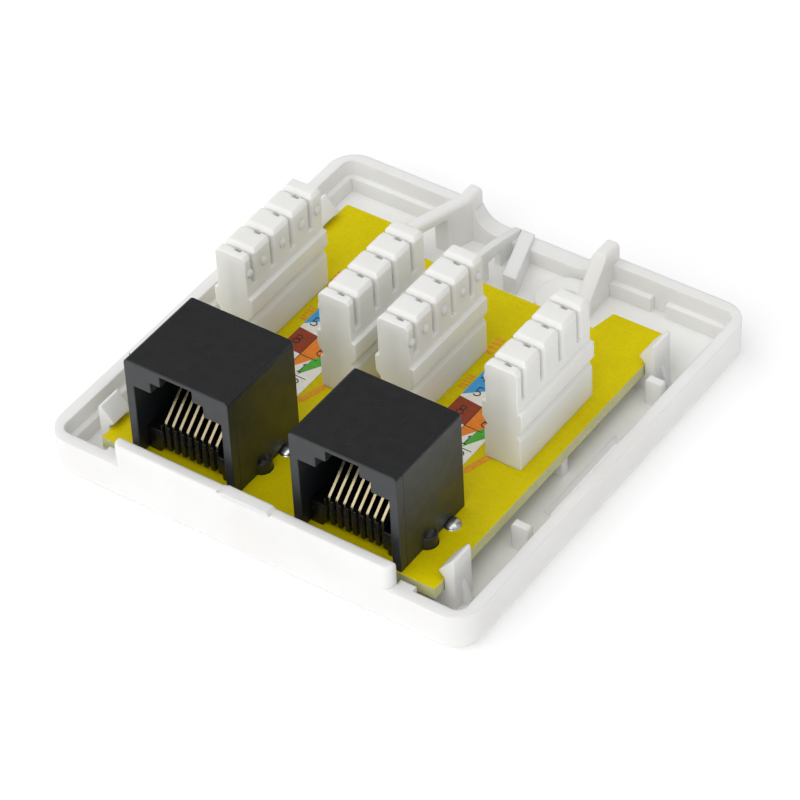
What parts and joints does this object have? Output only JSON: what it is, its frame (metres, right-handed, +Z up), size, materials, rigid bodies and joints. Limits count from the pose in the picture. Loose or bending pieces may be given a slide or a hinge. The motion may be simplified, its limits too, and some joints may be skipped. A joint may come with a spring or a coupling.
{
  "type": "surface mount jack box",
  "caption": "Open surface mount jack box: square tray with a clipped circuit board, modular jacks at the front edge and insulation displacement blocks behind them.",
  "frame": {"origin": "middle of the underside of the base tray", "axes": "+X to the right along the front edge, +Y from the jacks to the cable entry, +Z up away from the wall or desk it is fixed to"},
  "size_m": [0.058, 0.0604, 0.0198],
  "materials": {
    "base_plastic": "fine moulded",
    "block_plastic": "fine moulded",
    "board_lacquer": "lacquered",
    "jack_plastic": "moulded",
    "carrier_plastic": "moulded",
    "contact_gold": "gold flashed",
    "blade_metal": "tinned",
    "label_film": "printed film"
  },
  "bodies": {
    "root": {"base": "base_plastic", "circuit_board": "board_lacquer", "left_jack_housing": "jack_plastic", "left_jack_carrier": "carrier_plastic", "left_jack_contact_1": "contact_gold", "left_jack_contact_2": "contact_gold", "left_jack_contact_3": "contact_gold", "left_jack_contact_4": "contact_gold", "left_jack_contact_5": "contact_gold", "left_jack_contact_6": "contact_gold", "left_jack_contact_7": "contact_gold", "left_jack_contact_8": "contact_gold", "left_colour_label": "label_film", "right_jack_housing": "jack_plastic", "right_jack_carrier": "carrier_plastic", "right_jack_contact_1": "contact_gold", "right_jack_contact_2": "contact_gold", "right_jack_contact_3": "contact_gold", "right_jack_contact_4": "contact_gold", "right_jack_contact_5": "contact_gold", "right_jack_contact_6": "contact_gold", "right_jack_contact_7": "contact_gold", "right_jack_contact_8": "contact_gold", "right_colour_label": "label_film", "connector_block_1": "block_plastic", "block_1_blade_1": "blade_metal", "block_1_blade_2": "blade_metal", "block_1_blade_3": "blade_metal", "block_1_blade_4": "blade_metal", "connector_block_2": "block_plastic", "block_2_blade_1": "blade_metal", "block_2_blade_2": "blade_metal", "block_2_blade_3": "blade_metal", "block_2_blade_4": "blade_metal", "connector_block_3": "block_plastic", "block_3_blade_1": "blade_metal", "block_3_blade_2": "blade_metal", "block_3_blade_3": "blade_metal", "block_3_blade_4": "blade_metal", "connector_block_4": "block_plastic", "block_4_blade_1": "blade_metal", "block_4_blade_2": "blade_metal", "block_4_blade_3": "blade_metal", "block_4_blade_4": "blade_metal"}
  },
  "joints": []
}
